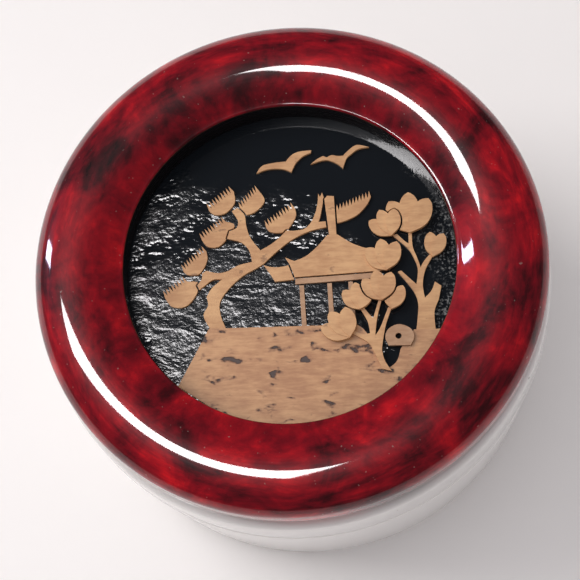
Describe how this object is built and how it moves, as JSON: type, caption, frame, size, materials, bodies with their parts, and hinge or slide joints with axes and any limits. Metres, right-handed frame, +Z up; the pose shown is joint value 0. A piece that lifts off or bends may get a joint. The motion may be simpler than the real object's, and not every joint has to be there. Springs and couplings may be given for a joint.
{
  "type": "trinket box",
  "caption": "Round lidded trinket box: pale turned body, lift-off lid with a red lacquered ring around a sunken black panel with a cut cork landscape.",
  "frame": {"origin": "centre of the underside of the foot, on the surface the box stands on", "axes": "+Z up along the axis of the box, +Y towards the top of the picture on the lid, +X to the picture's right"},
  "size_m": [0.0912, 0.0912, 0.0493],
  "materials": {
    "white_lacquer": "gloss",
    "red_lacquer": "gloss",
    "black_lacquer": "gloss",
    "backing_board": "matte",
    "cork": "matte",
    "dark_cork": "matte"
  },
  "bodies": {
    "base": {"base_drum": "white_lacquer"},
    "lid": {"lid_skirt": "white_lacquer", "lid_ring": "red_lacquer", "picture_panel": "black_lacquer", "panel_backing": "backing_board", "ground": "cork", "pine_tree": "cork", "needle_fan_1": "cork", "needle_fan_2": "cork", "needle_fan_3": "cork", "needle_fan_4": "cork", "needle_fan_5": "cork", "needle_fan_6": "cork", "needle_fan_7": "cork", "pavilion_roof": "cork", "roof_finial": "cork", "roof_wing": "cork", "roof_beam": "dark_cork", "roof_post_1": "dark_cork", "roof_post_2": "dark_cork", "roof_post_3": "dark_cork", "bird_left": "cork", "bird_right": "cork", "tall_tree": "cork", "shrub": "cork", "rock": "dark_cork", "tree_blossom_1": "cork", "tree_blossom_2": "cork", "tree_blossom_3": "cork", "tree_blossom_4": "cork", "shrub_blossom_1": "cork", "shrub_blossom_2": "cork", "shrub_blossom_3": "cork", "shrub_blossom_4": "cork"}
  },
  "joints": [
    {"name": "lid_lift", "type": "slide", "parent": "base", "child": "lid", "axis": [0, 0, 1], "range_m": [0, 0.03]}
  ]
}
